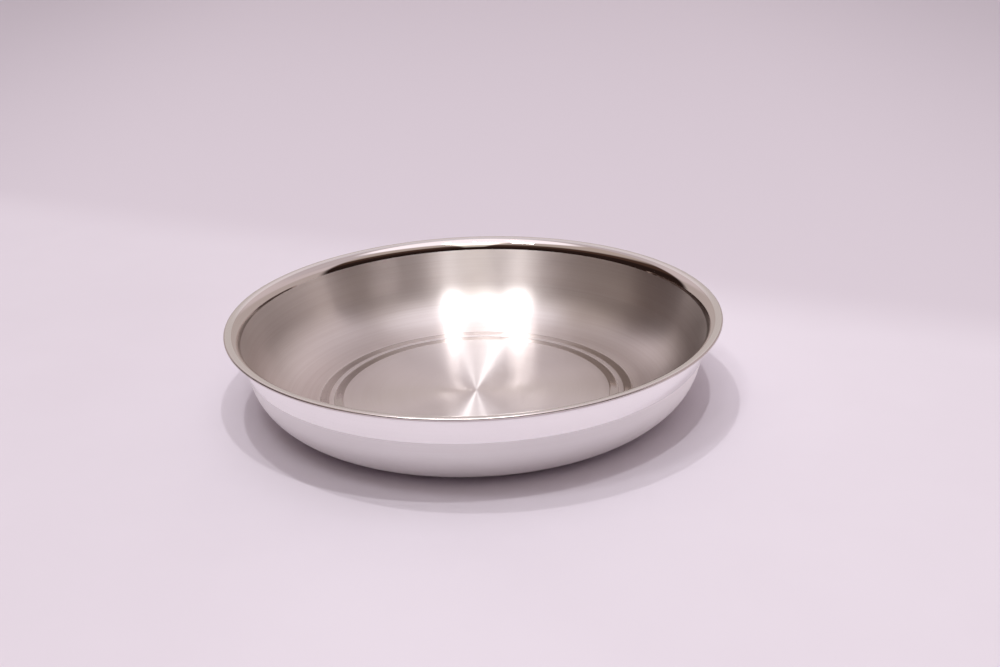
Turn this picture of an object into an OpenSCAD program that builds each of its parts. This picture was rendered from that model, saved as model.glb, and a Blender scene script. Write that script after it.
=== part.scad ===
// Paten dish: a shallow round dish spun from one disc of sheet steel.
// Flat floor, wide round corner, leaning wall, and a lip that rolls outwards over its top.
// Units are millimetres. +Z is up, and the origin is the centre of the flat underside.

/* [Dish] */
// Diameter across the outside of the lip
rim_d = 150; // [110:1:260]
// Height from the underside to the top of the lip
height = 26.7; // [20:0.1:45]
// Thickness of the sheet
sheet_t = 0.9; // [0.6:0.05:1.6]

/* [Wall] */
// Lean of the wall outwards from upright, in degrees
wall_lean = 15; // [8:0.1:30]
// Radius inside the corner between the floor and the wall
corner_r = 16.4; // [6:0.1:28]

/* [Lip] */
// Radius of the roll over the top of the lip
lip_r = 4; // [1.7:0.1:6]
// Angle that the lip turns down past level, in degrees
lip_droop = 5; // [0:1:75]

/* [Floor rings] */
// Number of polished rings turned into the floor
ring_count = 2; // [0:1:4]
// Width of each ring
ring_w = 2.7; // [0.8:0.1:5]
// Land left between one ring and the next
ring_gap = 1.65; // [0.5:0.05:4]
// Distance from the start of the corner in to the outermost ring
ring_inset = 3.35; // [0.5:0.05:6]
// Depth to which each ring is turned
ring_depth = 0.05; // [0.02:0.01:0.2]

/* [Hidden] */

// Steps round the revolved solid, and the furthest that a flat of an arc strays from it
revolve_steps = 180;
arc_error = 0.005;
// Points closer together than this are one point
same_point = 0.0001;

// Centre of the lip's roll, which puts the lip at the full diameter and height
edge_r = sheet_t / 2;
lip_mid_r = lip_r - edge_r;
lip_centre = [rim_d / 2 - edge_r - lip_mid_r * sin(lip_droop), height - lip_r];
lip_end = 90 - lip_droop;
edge_centre = at_angle(lip_centre, lip_mid_r, lip_end);

// Straight length of the wall between the corner and the lip, up its inside face
wall_top = at_angle(lip_centre, lip_r, 180 - wall_lean);
wall_foot_z = sheet_t + corner_r * (1 - sin(wall_lean));
wall_foot_r = wall_top[0] - (wall_top[1] - wall_foot_z) * tan(wall_lean);

// Radius of the flat floor, where the corner starts
floor_r = wall_foot_r - corner_r * cos(wall_lean);
corner_centre = [floor_r, sheet_t + corner_r];

// A point at an angle round a centre
function at_angle(centre, radius, angle) = centre + radius * [cos(angle), sin(angle)];

// Points along an arc, from one angle to the other
function arc(centre, radius, from, to) =
    let (step = 2 * acos(1 - arc_error / radius), steps = ceil(abs(to - from) / step))
    [for (i = [0:steps]) at_angle(centre, radius, from + (to - from) * i / steps)];

// The points with each one that repeats its neighbour left out
function without_repeats(points) =
    [for (i = [0:len(points) - 1]) if (norm(points[i] - points[(i + 1) % len(points)]) > same_point) points[i]];

// Outer radius of a ring, counted inwards from the corner
function ring_outer(i) = floor_r - ring_inset - i * (ring_w + ring_gap);

// The four points of one turned ring, going inwards
function ring_points(i) =
    let (outer = ring_outer(i), inner = outer - ring_w, bottom = sheet_t - ring_depth)
    [[outer, sheet_t], [outer, bottom], [inner, bottom], [inner, sheet_t]];

// Underside of the sheet, from the axis out to the lip
function under_face() = concat(
    [[0, 0]],
    arc(corner_centre, corner_r + sheet_t, -90, -wall_lean),
    arc(lip_centre, lip_r - sheet_t, 180 - wall_lean, lip_end)
);

// Rounded edge of the sheet, from its underside over to its top
function lip_edge() = concat(
    arc(edge_centre, edge_r, lip_end - 180, 0),
    arc(edge_centre, edge_r, 0, lip_end)
);

// Upper face of the sheet, from the lip in to the axis
function upper_face() = concat(
    arc(lip_centre, lip_r, lip_end, 90),
    arc(lip_centre, lip_r, 90, 180 - wall_lean),
    arc(corner_centre, corner_r, -wall_lean, -90),
    [for (i = [0:1:ring_count - 1]) each ring_points(i)],
    [[0, sheet_t]]
);

// The whole dish, one piece of sheet
module dish() {
    color("silver")
        rotate_extrude($fn = revolve_steps)
            polygon(without_repeats(concat(under_face(), lip_edge(), upper_face())));
}

dish();
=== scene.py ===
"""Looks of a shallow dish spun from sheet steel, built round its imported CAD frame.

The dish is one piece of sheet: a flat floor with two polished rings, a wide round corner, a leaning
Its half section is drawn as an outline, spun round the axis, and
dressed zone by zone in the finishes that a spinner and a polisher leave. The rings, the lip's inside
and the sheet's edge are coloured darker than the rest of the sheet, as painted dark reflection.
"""

import logging
import math
from dataclasses import dataclass, field
from enum import Enum
from typing import ClassVar

import bpy
from mathutils import Matrix, Vector
from mathutils.kdtree import KDTree


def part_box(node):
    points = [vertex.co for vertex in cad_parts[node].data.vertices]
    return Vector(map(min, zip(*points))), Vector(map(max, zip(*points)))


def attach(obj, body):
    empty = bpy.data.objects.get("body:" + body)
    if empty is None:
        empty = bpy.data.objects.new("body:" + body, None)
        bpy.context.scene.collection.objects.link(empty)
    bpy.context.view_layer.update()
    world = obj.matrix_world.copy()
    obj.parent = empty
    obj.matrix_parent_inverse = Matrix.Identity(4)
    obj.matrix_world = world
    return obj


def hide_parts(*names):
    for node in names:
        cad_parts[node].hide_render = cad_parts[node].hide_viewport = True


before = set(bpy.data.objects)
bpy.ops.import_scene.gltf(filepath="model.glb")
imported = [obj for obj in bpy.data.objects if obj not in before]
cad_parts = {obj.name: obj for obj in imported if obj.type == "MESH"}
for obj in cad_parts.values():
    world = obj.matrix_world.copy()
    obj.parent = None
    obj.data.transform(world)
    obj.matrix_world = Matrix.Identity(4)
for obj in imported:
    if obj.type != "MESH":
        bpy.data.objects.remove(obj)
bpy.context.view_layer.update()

MM = 0.001
TAU = 2 * math.pi

# Points of the outline closer than the first are one point, and so are vertices closer than the second
SAME_POINT = 0.002 * MM
SAME_VERTEX = 0.001 * MM
# How far the floor lies under the dish
FLOOR_GAP = 0.05 * MM

log = logging.getLogger("paten_dish")


class Zone(Enum):
    """Areas of the dish that carry a finish of their own, some with painted dark reflection in their
    colour.
    """

    BOWL = "bowl_brushed"
    FLOOR = "floor_brushed"
    RING = "floor_ring_polished_painted_dark_reflection"
    LIP = "lip_satin"
    EDGE = "sheet_edge_satin_painted_dark_reflection"
    COLLAR = "lip_inside_polished_painted_dark_reflection"
    BAND = "outer_band_polished"
    SKIRT = "outer_wall_satin"
    BASE = "underside_satin"


@dataclass(frozen=True)
class OutlinePoint:
    """One corner of the half section, and the zone of the stretch that starts at it."""

    radius: float
    height: float
    zone: Zone

    @property
    def place(self) -> Vector:
        """The point in the XZ plane."""
        return Vector((self.radius, 0.0, self.height))


@dataclass(frozen=True)
class DishProfile:
    """Half section of the dish, with the same driving sizes as the CAD part.

    Attributes:
        rim_r: Radius across the outside of the lip.
        height: Height of the lip's top above the underside.
        sheet_t: Thickness of the sheet.
        wall_lean: Lean of the wall outwards from upright.
        corner_r: Radius inside the corner between floor and wall.
        lip_r: Radius of the roll over the top of the lip.
        lip_droop: Angle that the lip turns down past level.
        ring_count: Number of polished rings in the floor.
        ring_w: Width of each ring.
        ring_gap: Land between one ring and the next.
        ring_inset: Distance from the corner in to the outermost ring.
        ring_depth: Depth of each ring.
        ring_shoulder: Width of the eased edge of each ring.
        polish_in: How far below the lip's top the polish reaches inside.
        polish_out: How far below the lip's top the polish reaches outside.
        collar_start: Angle round the lip's roll at which the inside polish starts.
    """

    rim_r: float
    height: float
    sheet_t: float = 0.9 * MM
    wall_lean: float = math.radians(15)
    corner_r: float = 16.4 * MM
    lip_r: float = 4.0 * MM
    lip_droop: float = math.radians(5)
    ring_count: int = 2
    ring_w: float = 2.7 * MM
    ring_gap: float = 1.65 * MM
    ring_inset: float = 3.35 * MM
    ring_depth: float = 0.05 * MM
    ring_shoulder: float = 0.14 * MM
    polish_in: float = 3.4 * MM
    polish_out: float = 9.8 * MM
    collar_start: float = math.radians(112)

    @property
    def edge_r(self) -> float:
        """Radius of the sheet's rounded edge."""
        return self.sheet_t / 2

    @property
    def lip_mid_r(self) -> float:
        """Radius of the middle of the sheet round the lip."""
        return self.lip_r - self.edge_r

    @property
    def lip_end(self) -> float:
        """Angle at which the lip's roll ends, from level outwards."""
        return math.pi / 2 - self.lip_droop

    @property
    def lip_centre(self) -> Vector:
        """Centre of the lip's roll."""
        radius = self.rim_r - self.edge_r - self.lip_mid_r * math.sin(self.lip_droop)
        return Vector((radius, 0.0, self.height - self.lip_r))

    @property
    def edge_centre(self) -> Vector:
        """Centre of the sheet's rounded edge."""
        return at_angle(self.lip_centre, self.lip_mid_r, self.lip_end)

    @property
    def wall_foot(self) -> Vector:
        """Where the wall's inside face meets the corner."""
        top = at_angle(self.lip_centre, self.lip_r, math.pi - self.wall_lean)
        foot_z = self.sheet_t + self.corner_r * (1 - math.sin(self.wall_lean))
        return Vector((top.x - (top.z - foot_z) * math.tan(self.wall_lean), 0.0, foot_z))

    @property
    def floor_r(self) -> float:
        """Radius of the flat floor."""
        return self.wall_foot.x - self.corner_r * math.cos(self.wall_lean)

    @property
    def corner_centre(self) -> Vector:
        """Centre of the corner between floor and wall."""
        return Vector((self.floor_r, 0.0, self.sheet_t + self.corner_r))

    def ring_outer(self, index: int) -> float:
        """Outer radius of a ring, counted inwards from the corner."""
        return self.floor_r - self.ring_inset - index * (self.ring_w + self.ring_gap)

    def outline(self) -> list[OutlinePoint]:
        """Draws the half section from the axis, out under the dish, over the lip and back in.

        Returns:
            The outline's points in order, each with the zone of the stretch after it.
        """
        points = self._under() + self._lip() + self._inside() + self._floor()
        kept: list[OutlinePoint] = []
        for point in points:
            if kept and (kept[-1].place - point.place).length < SAME_POINT:
                kept.pop()
            kept.append(point)
        return kept

    def _under(self) -> list[OutlinePoint]:
        """Underside of the floor and outside of the wall, as far as the lip."""
        lean, outer_r = self.wall_lean, self.corner_r + self.sheet_t
        foot = at_angle(self.corner_centre, outer_r, -lean)
        top = at_angle(self.lip_centre, self.lip_r - self.sheet_t, math.pi - lean)
        line_z = self.height - self.polish_out
        line = foot.lerp(top, (line_z - foot.z) / (top.z - foot.z))
        return [
            *along(Vector((0, 0, 0)), Vector((self.floor_r, 0, 0)), 16, Zone.BASE),
            *round_arc(self.corner_centre, outer_r, -math.pi / 2, -lean, 22, Zone.SKIRT),
            *along(foot, line, 6, Zone.SKIRT),
            *along(line, top, 8, Zone.BAND),
        ]

    def _lip(self) -> list[OutlinePoint]:
        """Hidden side of the lip, the sheet's rounded edge and the roll over the top."""
        lean, inner_r = self.wall_lean, self.lip_r - self.sheet_t
        end = self.lip_end
        return [
            *round_arc(self.lip_centre, inner_r, math.pi - lean, end, 16, Zone.BAND),
            *round_arc(self.edge_centre, self.edge_r, end - math.pi, end, 16, Zone.EDGE),
            *round_arc(self.lip_centre, self.lip_r, end, self.collar_start, 14, Zone.LIP),
            *round_arc(self.lip_centre, self.lip_r, self.collar_start, math.pi - lean, 16, Zone.COLLAR),
        ]

    def _inside(self) -> list[OutlinePoint]:
        """Inside of the wall and of the corner, going down."""
        top = at_angle(self.lip_centre, self.lip_r, math.pi - self.wall_lean)
        line_z = self.height - self.polish_in
        line = top.lerp(self.wall_foot, (top.z - line_z) / (top.z - self.wall_foot.z))
        start, end = -self.wall_lean, -math.pi / 2
        return [
            *along(top, line, 4, Zone.COLLAR),
            *along(line, self.wall_foot, 10, Zone.BOWL),
            *round_arc(self.corner_centre, self.corner_r, start, end, 30, Zone.BOWL),
        ]

    def _floor(self) -> list[OutlinePoint]:
        """Upper face of the floor with its eased rings, going in to the axis."""
        top, bottom = self.sheet_t, self.sheet_t - self.ring_depth
        half = self.ring_shoulder / 2
        points: list[OutlinePoint] = []
        for index in range(self.ring_count):
            outer = self.ring_outer(index)
            inner = outer - self.ring_w
            points += [
                *eased(outer + half, top, outer - half, bottom, Zone.RING),
                *along(Vector((outer - half, 0, bottom)), Vector((inner + half, 0, bottom)), 5, Zone.RING),
                *eased(inner + half, bottom, inner - half, top, Zone.RING),
                OutlinePoint(inner - half, top, Zone.FLOOR),
            ]
        last = self.ring_outer(self.ring_count - 1) - self.ring_w - half
        points += along(Vector((last, 0, top)), Vector((0, 0, top)), 20, Zone.FLOOR)
        return [*points, OutlinePoint(0.0, top, Zone.FLOOR)]


def at_angle(centre: Vector, radius: float, angle: float) -> Vector:
    """The point at an angle round a centre, in the XZ plane."""
    return centre + radius * Vector((math.cos(angle), 0.0, math.sin(angle)))


def along(start: Vector, end: Vector, steps: int, zone: Zone) -> list[OutlinePoint]:
    """Points on a straight stretch.

    Args:
        start: First point, which is included.
        end: Last point, which is left to the next stretch.
        steps: Number of points.
        zone: Finish of the stretch.

    Returns:
        The points in order.
    """
    places = [start.lerp(end, i / steps) for i in range(steps)]
    return [OutlinePoint(p.x, p.z, zone) for p in places]


def round_arc(
    centre: Vector, radius: float, start: float, end: float, steps: int, zone: Zone
) -> list[OutlinePoint]:
    """Points on a round stretch.

    Args:
        centre: Centre of the arc.
        radius: Radius of the arc.
        start: Angle of the first point, which is included.
        end: Angle of the last point, which is left to the next stretch.
        steps: Number of points.
        zone: Finish of the stretch.

    Returns:
        The points in order.
    """
    places = [at_angle(centre, radius, start + (end - start) * i / steps) for i in range(steps)]
    return [OutlinePoint(p.x, p.z, zone) for p in places]


def eased(r0: float, z0: float, r1: float, z1: float, zone: Zone) -> list[OutlinePoint]:
    """A small shoulder that leaves one level and reaches the other without a corner.

    Args:
        r0: Radius at the start.
        z0: Height at the start.
        r1: Radius at the end.
        z1: Height at the end.
        zone: Finish of the shoulder.

    Returns:
        The points in order, without the last.
    """
    steps = 5
    shares = [i / steps for i in range(steps)]
    rises = [share * share * (3 - 2 * share) for share in shares]
    return [OutlinePoint(r0 + (r1 - r0) * a, z0 + (z1 - z0) * b, zone) for a, b in zip(shares, rises)]


Socket = bpy.types.NodeSocket
Value = Socket | float
Colour = tuple[float, float, float]


class Nodes:
    """Adds nodes to a shader tree and joins them, a line at a time."""

    def __init__(self, tree: bpy.types.NodeTree) -> None:
        """Starts from an empty tree."""
        self.tree = tree
        tree.nodes.clear()

    def add(self, kind: str, **settings: object) -> bpy.types.Node:
        """Adds a node of a kind and sets its properties."""
        node = self.tree.nodes.new(kind)
        for name, value in settings.items():
            setattr(node, name, value)
        return node

    def feed(self, socket: Socket, value: Value) -> None:
        """Links a socket to another, or gives it a number."""
        if isinstance(value, Socket):
            self.tree.links.new(value, socket)
        else:
            socket.default_value = value

    def math(self, operation: str, *values: Value, clamp: bool = False) -> Socket:
        """Works out one step of arithmetic.

        Args:
            operation: Name of the operation.
            values: Its inputs, each a number or a socket.
            clamp: Whether the answer is kept from 0 to 1.

        Returns:
            The answer.
        """
        node = self.add("ShaderNodeMath", operation=operation, use_clamp=clamp)
        for socket, value in zip(node.inputs, values):
            self.feed(socket, value)
        return node.outputs[0]

    def vector(self, x: Value, y: Value, z: Value) -> Socket:
        """Joins three numbers into a vector."""
        node = self.add("ShaderNodeCombineXYZ")
        for socket, value in zip(node.inputs, (x, y, z)):
            self.feed(socket, value)
        return node.outputs[0]

    def heading(self, x: Socket, y: Socket, least: float) -> tuple[Socket, Socket, Socket]:
        """Turns a place on the level plane into a distance and a direction.

        Args:
            x: The place along X.
            y: The place along Y.
            least: Distance that a shorter one is divided by, so that the middle has a direction too.

        Returns:
            The distance, and the cosine and sine of the direction.
        """
        squares = self.math("ADD", self.math("MULTIPLY", x, x), self.math("MULTIPLY", y, y))
        distance = self.math("SQRT", squares)
        divisor = self.math("MAXIMUM", distance, least)
        return distance, self.math("DIVIDE", x, divisor), self.math("DIVIDE", y, divisor)

    def split(self, vector: Socket) -> tuple[Socket, Socket, Socket]:
        """Takes a vector apart into its three numbers."""
        node = self.add("ShaderNodeSeparateXYZ")
        self.feed(node.inputs[0], vector)
        return tuple(node.outputs)

    def noise(self, vector: Socket, scale: float, detail: float = 2.0, rough: float = 0.5) -> Socket:
        """Value of a noise pattern.

        Args:
            vector: Where the pattern is read.
            scale: How many cells it has to a unit.
            detail: How many finer layers it has.
            rough: Strength of the finer layers.

        Returns:
            The pattern, from 0 to 1.
        """
        node = self.add("ShaderNodeTexNoise")
        self.feed(node.inputs["Vector"], vector)
        self.feed(node.inputs["Scale"], scale)
        self.feed(node.inputs["Detail"], detail)
        self.feed(node.inputs["Roughness"], rough)
        return node.outputs[0]

    def ramp(self, value: Socket, low: float, high: float, to_low: float, to_high: float) -> Socket:
        """Carries a number smoothly from one span to another.

        Args:
            value: The number.
            low: Start of its span.
            high: End of its span.
            to_low: What the start becomes.
            to_high: What the end becomes.

        Returns:
            The number in its new span.
        """
        node = self.add("ShaderNodeMapRange", interpolation_type="SMOOTHSTEP")
        for socket, number in zip(node.inputs, (value, low, high, to_low, to_high)):
            self.feed(socket, number)
        return node.outputs[0]

    def mix(self, share: Value, first: Colour | Socket, second: Colour | Socket) -> Socket:
        """Mixes two colours.

        Args:
            share: How much of the second there is.
            first: One colour.
            second: The other.

        Returns:
            The mixed colour.
        """
        node = self.add("ShaderNodeMix", data_type="RGBA")
        self.feed(node.inputs[0], share)
        for socket, colour in zip((node.inputs[6], node.inputs[7]), (first, second)):
            if isinstance(colour, Socket):
                self.feed(socket, colour)
            else:
                socket.default_value = (*colour, 1.0)
        return node.outputs[2]


@dataclass(frozen=True)
class MetalFinish:
    """Steel worked in circles round the dish's axis.

    Attributes:
        colour: Colour of the clean metal, set darker in some zones as painted dark reflection.
        shade: Colour in the deepest lines of the grain.
        roughness: Roughness of the surface as a whole.
        uneven: How far the roughness strays from one line to the next.
        stretch: How far the grain draws a highlight out across itself, from 0 to 1.
        pitch: Spacing of the coarser lines.
        relief: Height of the lines.
        smear: How much the grain is broken by handling marks.
    """

    colour: Colour
    shade: Colour
    roughness: float
    uneven: float
    stretch: float
    pitch: float
    relief: float
    smear: float

    # Spacing of the finer lines as a share of the coarser ones', and their share in the grain
    FINE_PITCH: ClassVar[float] = 0.25
    FINE_SHARE: ClassVar[float] = 0.4
    # How often the coarse and the fine lines break on the way round
    COARSE_BREAKS: ClassVar[float] = 0.6
    FINE_BREAKS: ClassVar[float] = 2.0
    # Cells of the handling marks' pattern to a metre
    MARK_CELLS: ClassVar[float] = 55.0
    # Turn of the stretch, in whole turns, that draws highlights out across the lines
    QUARTER_TURN: ClassVar[float] = 0.25
    # Distance from the axis that anything nearer is divided by
    NEAREST: ClassVar[float] = 1e-5

    def build(self, name: str) -> bpy.types.Material:
        """Makes the material.

        Args:
            name: Name of the material.

        Returns:
            The material, which reads Object coordinates.
        """
        material = bpy.data.materials.new(name)
        material.use_nodes = True
        nodes = Nodes(material.node_tree)
        x, y, z = nodes.split(nodes.add("ShaderNodeTexCoord").outputs["Object"])
        radius, east, north = nodes.heading(x, y, self.NEAREST)
        run = nodes.math("ADD", radius, z)

        coarse = self._lines(nodes, run, east, north, self.pitch, self.COARSE_BREAKS)
        fine = self._lines(nodes, run, east, north, self.pitch * self.FINE_PITCH, self.FINE_BREAKS)
        grain = nodes.math(
            "ADD",
            nodes.math("MULTIPLY", coarse, 1 - self.FINE_SHARE),
            nodes.math("MULTIPLY", fine, self.FINE_SHARE),
        )
        place = nodes.vector(x, y, z)
        marks = nodes.ramp(nodes.noise(place, self.MARK_CELLS, 4.0, 0.6), 0.35, 0.75, 0.0, 1.0)

        colour = nodes.mix(nodes.ramp(grain, 0.25, 0.75, 0.0, 1.0), self.shade, self.colour)
        dull, bright = self.roughness + self.uneven, self.roughness - self.uneven
        rough = nodes.math(
            "ADD",
            nodes.ramp(grain, 0.2, 0.8, dull, bright),
            nodes.math("MULTIPLY", marks, self.smear),
        )
        bump = nodes.add("ShaderNodeBump")
        nodes.feed(bump.inputs["Strength"], 1.0)
        nodes.feed(bump.inputs["Distance"], self.relief)
        nodes.feed(bump.inputs["Height"], grain)

        shader = nodes.add("ShaderNodeBsdfPrincipled")
        nodes.feed(shader.inputs["Base Color"], colour)
        nodes.feed(shader.inputs["Metallic"], 1.0)
        nodes.feed(shader.inputs["Roughness"], rough)
        nodes.feed(shader.inputs["Anisotropic"], self.stretch)
        nodes.feed(shader.inputs["Anisotropic Rotation"], self.QUARTER_TURN)
        nodes.feed(shader.inputs["Tangent"], nodes.vector(nodes.math("MULTIPLY", north, -1.0), east, 0.0))
        nodes.feed(shader.inputs["Normal"], bump.outputs[0])
        output = nodes.add("ShaderNodeOutputMaterial")
        nodes.feed(output.inputs["Surface"], shader.outputs[0])
        return material

    @staticmethod
    def _lines(
        nodes: Nodes, run: Socket, east: Socket, north: Socket, pitch: float, breaks: float
    ) -> Socket:
        """Lines that run round the axis.

        Args:
            nodes: Tree that they are added to.
            run: Distance out and up from the middle of the floor.
            east: Cosine of the angle round the axis.
            north: Sine of the angle round the axis.
            pitch: Spacing of the lines.
            breaks: How often a line fades and another takes over, on the way round.

        Returns:
            The pattern, from 0 to 1.
        """
        across = nodes.math("MULTIPLY", run, 1.0 / pitch)
        around = [nodes.math("MULTIPLY", part, breaks) for part in (east, north)]
        return nodes.noise(nodes.vector(across, *around), 1.0, 2.0, 0.6)


FINISHES: dict[Zone, MetalFinish] = {
    Zone.BOWL: MetalFinish(
        colour=(0.92, 0.865, 0.85), shade=(0.86, 0.795, 0.775), roughness=0.31, uneven=0.03,
        stretch=1.0, pitch=0.9 * MM, relief=0.0015 * MM, smear=0.02,
    ),
    Zone.FLOOR: MetalFinish(
        colour=(0.91, 0.865, 0.86), shade=(0.89, 0.84, 0.83), roughness=0.29, uneven=0.012,
        stretch=1.0, pitch=0.7 * MM, relief=0.0003 * MM, smear=0.01,
    ),
    # Darker than the rest of the sheet: painted dark reflection in the polished rings
    Zone.RING: MetalFinish(
        colour=(0.68, 0.63, 0.61), shade=(0.63, 0.58, 0.56), roughness=0.07, uneven=0.02,
        stretch=0.6, pitch=0.5 * MM, relief=0.0006 * MM, smear=0.02,
    ),
    Zone.LIP: MetalFinish(
        colour=(0.96, 0.95, 0.94), shade=(0.94, 0.92, 0.91), roughness=0.13, uneven=0.02,
        stretch=0.3, pitch=0.7 * MM, relief=0.0004 * MM, smear=0.02,
    ),
    # Darker than the rest of the sheet: painted dark reflection along the sheet's edge
    Zone.EDGE: MetalFinish(
        colour=(0.74, 0.68, 0.67), shade=(0.66, 0.60, 0.58), roughness=0.24, uneven=0.03,
        stretch=0.0, pitch=0.3 * MM, relief=0.0004 * MM, smear=0.03,
    ),
    # Darker than the rest of the sheet: painted dark reflection in the lip's polished inside
    Zone.COLLAR: MetalFinish(
        colour=(0.80, 0.74, 0.72), shade=(0.76, 0.69, 0.67), roughness=0.03, uneven=0.008,
        stretch=0.3, pitch=0.6 * MM, relief=0.0002 * MM, smear=0.01,
    ),
    Zone.BAND: MetalFinish(
        colour=(0.99, 0.975, 0.96), shade=(0.97, 0.955, 0.94), roughness=0.12, uneven=0.015,
        stretch=0.4, pitch=0.8 * MM, relief=0.0002 * MM, smear=0.01,
    ),
    Zone.SKIRT: MetalFinish(
        colour=(0.97, 0.955, 0.94), shade=(0.95, 0.93, 0.915), roughness=0.42, uneven=0.02,
        stretch=0.8, pitch=0.9 * MM, relief=0.0004 * MM, smear=0.02,
    ),
    Zone.BASE: MetalFinish(
        colour=(0.86, 0.84, 0.82), shade=(0.76, 0.74, 0.72), roughness=0.36, uneven=0.05,
        stretch=0.8, pitch=0.7 * MM, relief=0.003 * MM, smear=0.08,
    ),
}


@dataclass
class SpunDish:
    """The whole dish: one sheet of steel, spun round the axis.

    Attributes:
        profile: Its half section.
        steps: Number of faces round the axis.
        smooth_angle: Edges flatter than this are shaded smooth.
    """

    profile: DishProfile
    steps: int = 288
    smooth_angle: float = math.radians(50)
    piece: bpy.types.Object | None = field(default=None, init=False)

    def build(self) -> bpy.types.Object:
        """Draws the outline, spins it and dresses it.

        Returns:
            The finished piece.
        """
        outline = self.profile.outline()
        self._draw(outline)
        self._spin()
        self._dress(outline)
        return self.piece

    def _draw(self, outline: list[OutlinePoint]) -> None:
        """Merges a small plane to one point and extrudes it along the outline."""
        bpy.ops.object.select_all(action="DESELECT")
        bpy.ops.mesh.primitive_plane_add(size=1.0 * MM)
        self.piece = bpy.context.object
        self.piece.name = "spun_dish"
        self.piece.data.name = "spun_dish"
        bpy.ops.object.mode_set(mode="EDIT")
        bpy.ops.mesh.select_all(action="SELECT")
        bpy.ops.mesh.merge(type="CENTER")
        bpy.ops.transform.translate(value=outline[0].place)
        for last, point in zip(outline, outline[1:]):
            step = point.place - last.place
            bpy.ops.mesh.extrude_region_move(TRANSFORM_OT_translate={"value": step})

    def _spin(self) -> None:
        """Turns the outline into a closed sheet and smooths it."""
        bpy.ops.mesh.select_all(action="SELECT")
        bpy.ops.mesh.spin(steps=self.steps, angle=TAU, center=(0, 0, 0), axis=(0, 0, 1))
        bpy.ops.mesh.select_all(action="SELECT")
        bpy.ops.mesh.remove_doubles(threshold=SAME_VERTEX)
        bpy.ops.mesh.normals_make_consistent(inside=False)
        bpy.ops.object.mode_set(mode="OBJECT")
        bpy.ops.object.shade_smooth_by_angle(angle=self.smooth_angle)

    def _dress(self, outline: list[OutlinePoint]) -> None:
        """Gives each face the finish of the stretch of outline that it came from."""
        zones = list(Zone)
        for zone in zones:
            self.piece.data.materials.append(FINISHES[zone].build(zone.value))
        stretches = list(zip(outline, outline[1:]))
        tree = KDTree(len(stretches))
        for index, (start, end) in enumerate(stretches):
            tree.insert((start.place + end.place) / 2, index)
        tree.balance()
        for face in self.piece.data.polygons:
            x, y, z = face.center
            _, index, _ = tree.find((math.hypot(x, y), 0.0, z))
            face.material_index = zones.index(stretches[index][0].zone)


@dataclass(frozen=True)
class Lamp:
    """A round lamp overhead, aimed at the dish.

    Attributes:
        name: Its name.
        lean: How far it stands to the right and towards the back for each unit of its height.
        distance: How far it is from the dish.
        size: Its diameter.
        power: Its power in watts.
        colour: Its colour.
    """

    name: str
    lean: tuple[float, float]
    distance: float
    size: float
    power: float
    colour: Colour = (1.0, 1.0, 1.0)

    def build(self) -> bpy.types.Object:
        """Hangs the lamp."""
        towards = Vector((*self.lean, 1.0)).normalized()
        bpy.ops.object.light_add(type="AREA", location=towards * self.distance)
        lamp = bpy.context.object
        lamp.name = self.name
        lamp.rotation_euler = towards.to_track_quat("Z", "Y").to_euler()
        lamp.data.shape = "DISK"
        lamp.data.size = self.size
        lamp.data.energy = self.power
        lamp.data.color = self.colour
        return lamp


@dataclass(frozen=True)
class RoomBand:
    """Light that the room gives over one band of height above the horizon.

    Attributes:
        fade: Sines of the elevations between which the band gives way to the next one up.
        backdrop: Its colour on the side of the backdrop.
        dim: Its colour on the sides that the backdrop leaves open.
        strip: Its colour in the bright strip that runs from overhead down to the front.
    """

    fade: tuple[float, float]
    backdrop: Colour
    dim: Colour
    strip: Colour

    def build(self, nodes: Nodes, backdrop: Socket, strip: Socket) -> Socket:
        """Works out the band's colour in a direction.

        Args:
            nodes: Tree of the room.
            backdrop: How far the direction points at the backdrop, from 0 to 1.
            strip: How far it points at the strip, from 0 to 1.

        Returns:
            The colour.
        """
        return nodes.mix(strip, nodes.mix(backdrop, self.dim, self.backdrop), self.strip)


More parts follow.
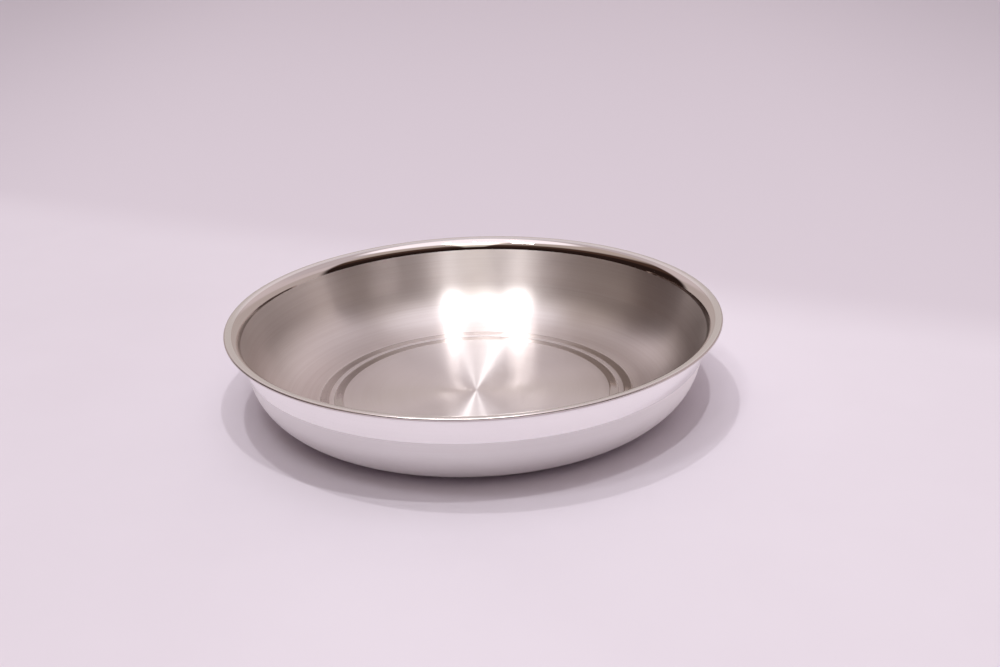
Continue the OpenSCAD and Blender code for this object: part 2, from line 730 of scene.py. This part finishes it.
@dataclass
class Studio:
    """Pale floor, overhead lamps and the room's light.

    Attributes:
        floor_size: Side of the floor.
        floor_colour: Colour of the floor.
        back_colour: Colour of the floor beyond the line where the backdrop would rise, painted shade for
            the dimmer backdrop; the floor's specks and its painted shade on the left also turn towards it.
        side_colour: Colour that the floor there turns to at its sides, painted shade that deepens out to
            the sides.
        lamps: The lamps.
        bands: The room's light, from the horizon up.
        top: Colour of the room straight overhead.
        backdrop_turn: Where the middle of the backdrop stands, anticlockwise from the right.
        backdrop_edge: Cosines of the turns from there between which the backdrop comes in.
        strip_shift: How far left the middle of the bright strip leans, for each unit of height.
        strip_edge: Leans from there between which the strip fades out.
        strip_front: How far a direction points to the back where the strip starts and ends its fade.
        least_up: Least sine of elevation that a direction's lean is worked out with.
        back_slant: How far the line where the floor turns darker runs back for each unit to the left.
        back_span: Distances back from the dish's middle between which it turns darker.
        side_span: Distances out to the sides between which the back turns darker still.
        side_share: How far it turns.
        left_shade_span: Places along X between which the floor turns a little darker to the left, as
            painted shade.
    """

    # Distance from overhead that anything nearer is divided by
    NEAREST: ClassVar[float] = 1e-3

    floor_size: float = 60.0
    floor_colour: Colour = (0.80, 0.745, 0.825)
    back_colour: Colour = (0.70, 0.64, 0.715)
    side_colour: Colour = (0.55, 0.50, 0.565)
    lamps: tuple[Lamp, ...] = (
        Lamp("lamp_right", (0.126, -0.237), 1.86, 0.055, 5.4),
        Lamp("lamp_left", (-0.175, 0.008), 1.86, 0.055, 5.0),
        Lamp("lamp_front_left", (-0.31, -0.31), 1.86, 0.25, 3.3),
        Lamp("lamp_front", (-0.10, -0.42), 1.86, 0.25, 1.0),
        Lamp("lamp_middle", (-0.016, -0.20), 1.86, 0.02, 0.2),
    )
    bands: tuple[RoomBand, ...] = (
        RoomBand((0.38, 0.50), (0.52, 0.45, 0.43), (0.022, 0.012, 0.010), (0.022, 0.012, 0.010)),
        RoomBand((0.62, 0.74), (0.68, 0.59, 0.60), (0.07, 0.038, 0.028), (0.62, 0.57, 0.50)),
        RoomBand((0.88, 0.93), (0.60, 0.53, 0.55), (0.52, 0.44, 0.40), (1.8, 1.7, 1.6)),
    )
    top: Colour = (1.32, 1.25, 1.33)
    backdrop_turn: float = math.radians(66)
    backdrop_edge: tuple[float, float] = (0.24, 0.36)
    strip_shift: float = 0.03
    strip_edge: tuple[float, float] = (0.15, 0.25)
    strip_front: tuple[float, float] = (-0.05, 0.08)
    least_up: float = 0.2
    back_slant: float = 0.50
    back_span: tuple[float, float] = (0.095, 0.150)
    side_span: tuple[float, float] = (0.15, 0.45)
    side_share: float = 0.7
    left_shade_span: tuple[float, float] = (-0.14, 0.0)

    def build(self) -> None:
        """Sets up the floor, the lamps and the room."""
        self._floor()
        for lamp in self.lamps:
            lamp.build()
            log.info("lamp %s at %.2f m", lamp.name, lamp.distance)
        self._room()

    def _floor(self) -> None:
        """Lays the floor a hair under the dish, with painted shade at the back, at the back's sides and to
        the left.
        """
        bpy.ops.object.select_all(action="DESELECT")
        bpy.ops.mesh.primitive_plane_add(size=self.floor_size, location=(0, 0, -FLOOR_GAP))
        floor = bpy.context.object
        floor.name = "floor"
        material = bpy.data.materials.new("floor_paper")
        material.use_nodes = True
        nodes = Nodes(material.node_tree)
        x, y, _ = nodes.split(nodes.add("ShaderNodeTexCoord").outputs["Object"])
        # Painted shade: beyond a slanted line behind the dish the floor turns to back_colour, for the
        # dimmer backdrop
        depth = nodes.math("ADD", y, nodes.math("MULTIPLY", x, self.back_slant))
        back = nodes.ramp(depth, *self.back_span, 0.0, 1.0)
        speck = nodes.noise(nodes.vector(x, y, 0.0), 9.0, 4.0, 0.6)
        # Painted shade: the floor turns a little darker to the left; the specks are the floor's own uneven
        # tone
        left = nodes.ramp(x, *self.left_shade_span, 0.4, 0.0)
        speck_and_left_shade = nodes.math("ADD", nodes.ramp(speck, 0.3, 0.7, 0.0, 0.2), left)
        tint = nodes.mix(speck_and_left_shade, self.floor_colour, self.back_colour)
        shader = nodes.add("ShaderNodeBsdfPrincipled")
        # Painted shade that deepens towards the sides of the floor's back
        sides = nodes.ramp(nodes.math("ABSOLUTE", x), *self.side_span, 0.0, self.side_share)
        beyond = nodes.mix(sides, self.back_colour, self.side_colour)
        nodes.feed(shader.inputs["Base Color"], nodes.mix(back, tint, beyond))
        nodes.feed(shader.inputs["Roughness"], 0.9)
        nodes.feed(shader.inputs["Specular IOR Level"], 0.2)
        output = nodes.add("ShaderNodeOutputMaterial")
        nodes.feed(output.inputs["Surface"], shader.outputs[0])
        floor.data.materials.append(material)

    def _room(self) -> None:
        """Lights the room band by band."""
        world = bpy.data.worlds.new("room")
        bpy.context.scene.world = world
        world.use_nodes = True
        nodes = Nodes(world.node_tree)
        x, y, up = nodes.split(nodes.add("ShaderNodeTexCoord").outputs["Generated"])
        backdrop = self._backdrop(nodes, x, y)
        strip = self._strip(nodes, x, y, up)
        light: Colour | Socket = self.top
        for band in reversed(self.bands):
            share = nodes.ramp(up, *band.fade, 0.0, 1.0)
            light = nodes.mix(share, band.build(nodes, backdrop, strip), light)
        glow = nodes.add("ShaderNodeBackground")
        nodes.feed(glow.inputs["Color"], light)
        nodes.feed(glow.inputs["Strength"], 1.0)
        output = nodes.add("ShaderNodeOutputWorld")
        nodes.feed(output.inputs["Surface"], glow.outputs[0])

    def _backdrop(self, nodes: Nodes, x: Socket, y: Socket) -> Socket:
        """How far a direction points at the backdrop, from 0 to 1."""
        _, east, north = nodes.heading(x, y, self.NEAREST)
        east_part = nodes.math("MULTIPLY", east, math.cos(self.backdrop_turn))
        north_part = nodes.math("MULTIPLY", north, math.sin(self.backdrop_turn))
        return nodes.ramp(nodes.math("ADD", east_part, north_part), *self.backdrop_edge, 0.0, 1.0)

    def _strip(self, nodes: Nodes, x: Socket, y: Socket, up: Socket) -> Socket:
        """How far a direction points at the bright strip, from 0 to 1."""
        tilt = nodes.math("DIVIDE", x, nodes.math("MAXIMUM", up, self.least_up))
        lean = nodes.math("ABSOLUTE", nodes.math("ADD", tilt, self.strip_shift))
        inside = nodes.ramp(lean, *self.strip_edge, 1.0, 0.0)
        return nodes.math("MULTIPLY", inside, nodes.ramp(y, *self.strip_front, 1.0, 0.0))


@dataclass(frozen=True)
class ViewPoint:
    """The camera, placed from the middle of the lip's top.

    Attributes:
        offset: Where it stands.
        tilt: How far it looks down from level.
        roll: How far its frame turns.
        lens: Focal length in millimetres.
    """

    offset: tuple[float, float, float] = (7.89 * MM, -393.89 * MM, 151.70 * MM)
    tilt: float = math.radians(21.969)
    roll: float = math.radians(1.958)
    lens: float = 50.0

    def build(self, lip_top: float) -> bpy.types.Object:
        """Makes the camera and gives it to the scene.

        Args:
            lip_top: Height of the lip's top.

        Returns:
            The camera.
        """
        place = Vector(self.offset) + Vector((0.0, 0.0, lip_top))
        bpy.ops.object.camera_add(location=place)
        camera = bpy.context.object
        turn = Matrix.Rotation(math.pi / 2 - self.tilt, 4, "X") @ Matrix.Rotation(-self.roll, 4, "Z")
        camera.rotation_euler = turn.to_euler()
        camera.data.lens = self.lens
        camera.data.sensor_width = 36.0
        camera.data.clip_start = 0.01
        camera.data.clip_end = 20.0
        bpy.context.scene.camera = camera
        return camera


def main() -> None:
    """Builds the dish, the studio and the camera."""
    logging.basicConfig(level=logging.INFO, format="%(name)s: %(message)s")
    low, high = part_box("dish")
    profile = DishProfile(rim_r=(high.x - low.x) / 2, height=high.z - low.z)
    dish = SpunDish(profile).build()
    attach(dish, "root")
    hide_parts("dish")
    log.info("%s: %d faces, floor radius %.2f mm", dish.name, len(dish.data.polygons), profile.floor_r / MM)
    Studio().build()
    ViewPoint().build(high.z)
    bpy.context.scene.view_settings.view_transform = "Standard"


if __name__ == "__main__":
    main()
